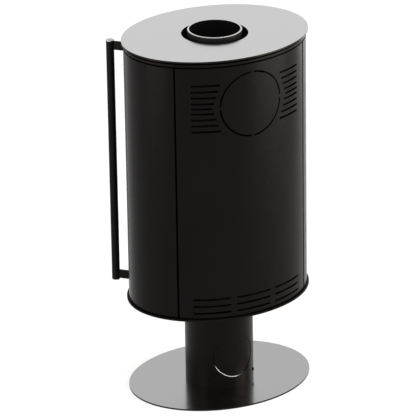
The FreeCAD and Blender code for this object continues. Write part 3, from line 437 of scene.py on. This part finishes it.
def bead(bm, points, radius):
    """A rippled weld bead along a path, six-sided and thinner at its ends."""
    rings = []
    last = len(points) - 1
    for i, point in enumerate(points):
        way = (points[min(i + 1, last)] - points[max(i - 1, 0)]).normalized()
        side = way.orthogonal().normalized()
        up = way.cross(side)
        ripple = 0.86 + 0.14 * math.sin(2.1 * i)
        size = radius * ripple * (0.4 if i in (0, last) else 1.0)
        ring = []
        for k in range(6):
            turn = math.pi * k / 3
            ring.append(point + (side * math.cos(turn) + up * math.sin(turn)) * size)
        rings.append(ring)
    ribbon(bm, rings)


def bracket_welds():
    """Painted weld beads where each handle bracket meets the door and the rod."""
    low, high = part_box("handle_brackets")
    rod_low, rod_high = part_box("handle_rod")
    rod = Vector(((rod_low.x + rod_high.x) / 2, (rod_low.y + rod_high.y) / 2, 0.0))
    rod_r = (rod_high.x - rod_low.x) / 2
    reach = math.sqrt(rod_r ** 2 - BRACKET_HALF ** 2)
    foot, normal = on_oval(HANDLE_DEG)
    along = UP.cross(normal)
    bm = bmesh.new()
    for z0 in (low.z, high.z - BRACKET_TALL):
        for side in (-1, 1):
            offset = along * side * BRACKET_HALF
            for line in (foot + offset, rod - normal * reach + offset):
                points = [line + UP * (z0 + BRACKET_TALL * i / WELD_STEPS) for i in range(WELD_STEPS + 1)]
                bead(bm, points, WELD_R)
    return piece("bracket_welds", bm, MATERIALS["handle_metal"], "door")


def inlet_lip():
    """The bright bare lip of the outside-air inlet, seen where the cover hangs high in its hole.

    It slopes inward from the hole's edge, and it thins out towards its ends.
    """
    bm = bmesh.new()
    rings = []
    for i in range(LIP_STEPS + 1):
        part = i / LIP_STEPS
        turn = math.radians(LIP_DEG[0] + (LIP_DEG[1] - LIP_DEG[0]) * part)
        width = (0.3 + 1.1 * min(1.0, 12 * part, 4 - 4 * part)) * MM
        inner_r = INLET_R - width
        ring = []
        for radius, depth in ((INLET_R, 0.2), (inner_r, 1.7), (inner_r, 2.2), (INLET_R, 2.2)):
            x = radius * math.cos(turn)
            y = math.sqrt((PEDESTAL_R - depth * MM) ** 2 - x * x)
            ring.append((x, y, INLET_Z + radius * math.sin(turn)))
        rings.append(ring)
    ribbon(bm, rings)
    m = Mat("bare_lip", Metallic=1.0)
    grain = m.noise(500.0, 3.0)
    m.colour(m.blend(grain, (0.86, 0.86, 0.85), (0.95, 0.95, 0.94)))
    m.rough(m.spread(grain, 0.3, 0.45))
    return piece("inlet_lip", bm, m.mat, "stove_body")


def upright_rod(bm, sides, radius, x, y, low, high):
    """A rod with that many sides, given in millimetres."""
    place = Matrix.Translation((x * MM, y * MM, (low + high) / 2 * MM))
    bmesh.ops.create_cone(bm, cap_ends=True, segments=sides, radius1=radius * MM, radius2=radius * MM,
                          depth=(high - low) * MM, matrix=place)


def smoke_deflector():
    """A steel plate hung by four bolts under the flue outlet, over the baffle."""
    inset, run = DEFLECTOR_CORNER
    front_half = DEFLECTOR_HALF - inset
    side_start = DEFLECTOR_FRONT + run
    outline = ((-DEFLECTOR_HALF, side_start), (-front_half, DEFLECTOR_FRONT), (front_half, DEFLECTOR_FRONT),
               (DEFLECTOR_HALF, side_start), (DEFLECTOR_HALF, DEFLECTOR_BACK),
               (-DEFLECTOR_HALF, DEFLECTOR_BACK))
    bm = bmesh.new()
    ribbon(bm, [[(x * MM, y * MM, z * MM) for x, y in outline] for z in (DEFLECTOR_LOW, DEFLECTOR_HIGH)])
    bmesh.ops.bevel(bm, geom=list(bm.edges), offset=0.6 * MM, segments=2, affect="EDGES")
    for x in (-DEFLECTOR_BOLT[0], DEFLECTOR_BOLT[0]):
        for y in (-DEFLECTOR_BOLT[1], DEFLECTOR_BOLT[1]):
            upright_rod(bm, 24, 5.0, x, y, DEFLECTOR_HIGH, DEFLECTOR_BOLT_TOP)
            upright_rod(bm, 6, 8.0, x, y, DEFLECTOR_LOW - 6.0, DEFLECTOR_LOW)
    return piece("smoke_deflector", bm, MATERIALS["frame_paint"], "stove_body")


glass_border()
clip_screws()
bracket_welds()
inlet_lip()
smoke_deflector()


# ---------------------------------------------------------------- stage, light and camera

# Metres for places, degrees for angles. Azimuth 0 of the camera looks at the door.
SIDE_LIGHT_AWAY = 3.1
SIDE_LIGHT_Z = 0.7
SIDE_LIGHT_TALL = 1.6
SIDE_LIGHT_AIM = Vector((0.0, 0.0, 0.6))
CAMERA_AZIMUTH = 151.21
CAMERA_ELEVATION = 23.0
CAMERA_ROLL = -0.823
CAMERA_AWAY = 10.894
CAMERA_AIM = Vector((0.0, 0.0, 0.5475))
CAMERA_LENS = 320.8
CAMERA_SHIFT = (-0.0221, -0.0012)


def make_floor():
    """A plain white floor that glows a little, so its shadows stay as faint as in a light tent."""
    m = Mat("floor_white", Roughness=0.9, Specular_IOR_Level=0.1, Emission_Strength=0.66)
    m.colour(m.blend(m.noise(1.5, 2.0), (0.36, 0.36, 0.36), (0.38, 0.38, 0.38)))
    m.bsdf.inputs["Emission Color"].default_value = (1.0, 1.0, 1.0, 1.0)
    half = 9.0
    corners = [(-half, -half, 0), (half, -half, 0), (half, half, 0), (-half, half, 0)]
    mesh = bpy.data.meshes.new("floor")
    mesh.from_pydata(corners, [], [(0, 1, 2, 3)])
    mesh.update()
    mesh.materials.append(m.mat)
    floor = bpy.data.objects.new("floor", mesh)
    SCENE.collection.objects.link(floor)


def make_world():
    """An even white studio all round."""
    world = bpy.data.worlds.new("studio")
    world.use_nodes = True
    background = world.node_tree.nodes["Background"]
    background.inputs["Color"].default_value = (1.0, 1.0, 1.0, 1.0)
    background.inputs["Strength"].default_value = 1.0
    SCENE.world = world


def area_light(name, power, place, turn):
    lamp = bpy.data.lights.new(name, "AREA")
    lamp.energy = power
    light = bpy.data.objects.new(name, lamp)
    light.location = place
    light.rotation_euler = turn
    SCENE.collection.objects.link(light)
    return lamp


def side_light(name, azimuth, width, power, colour):
    """An upright panel of light that faces the stove from one side."""
    turn = math.radians(azimuth)
    place = Vector((SIDE_LIGHT_AWAY * math.cos(turn), SIDE_LIGHT_AWAY * math.sin(turn), SIDE_LIGHT_Z))
    facing = (SIDE_LIGHT_AIM - place).to_track_quat("-Z", "Y").to_euler()
    lamp = area_light(name, power, place, facing)
    lamp.shape = "RECTANGLE"
    lamp.size = width
    lamp.size_y = SIDE_LIGHT_TALL
    lamp.color = colour


def make_light():
    make_world()
    top = area_light("soft_box", 20.0, (0.0, 1.5, 4.0), (math.radians(-20), 0.0, 0.0))
    top.size = 3.0
    side_light("left_box", 4.0, 1.8, 30.0, (1.0, 0.9, 0.82))
    side_light("side_box", 138.0, 2.2, 88.0, (1.0, 0.89, 0.8))
    side_light("rim_box", 197.0, 1.6, 27.0, (1.0, 0.94, 0.88))


def make_camera():
    """A long lens behind the stove and to its left, looking down on it."""
    azimuth = math.radians(CAMERA_AZIMUTH)
    elevation = math.radians(CAMERA_ELEVATION)
    flat = math.cos(elevation)
    away = Vector((math.sin(azimuth) * flat, -math.cos(azimuth) * flat, math.sin(elevation)))
    data = bpy.data.cameras.new("camera")
    data.sensor_width = 36.0
    data.lens = CAMERA_LENS
    data.shift_x, data.shift_y = CAMERA_SHIFT
    camera = bpy.data.objects.new("camera", data)
    roll = Matrix.Rotation(math.radians(CAMERA_ROLL), 3, "Z")
    turn = (-away).to_track_quat("-Z", "Y").to_matrix() @ roll
    camera.matrix_world = Matrix.Translation(CAMERA_AIM + away * CAMERA_AWAY) @ turn.to_4x4()
    SCENE.collection.objects.link(camera)
    SCENE.camera = camera


make_floor()
make_light()
make_camera()
SCENE.view_settings.view_transform = "Standard"
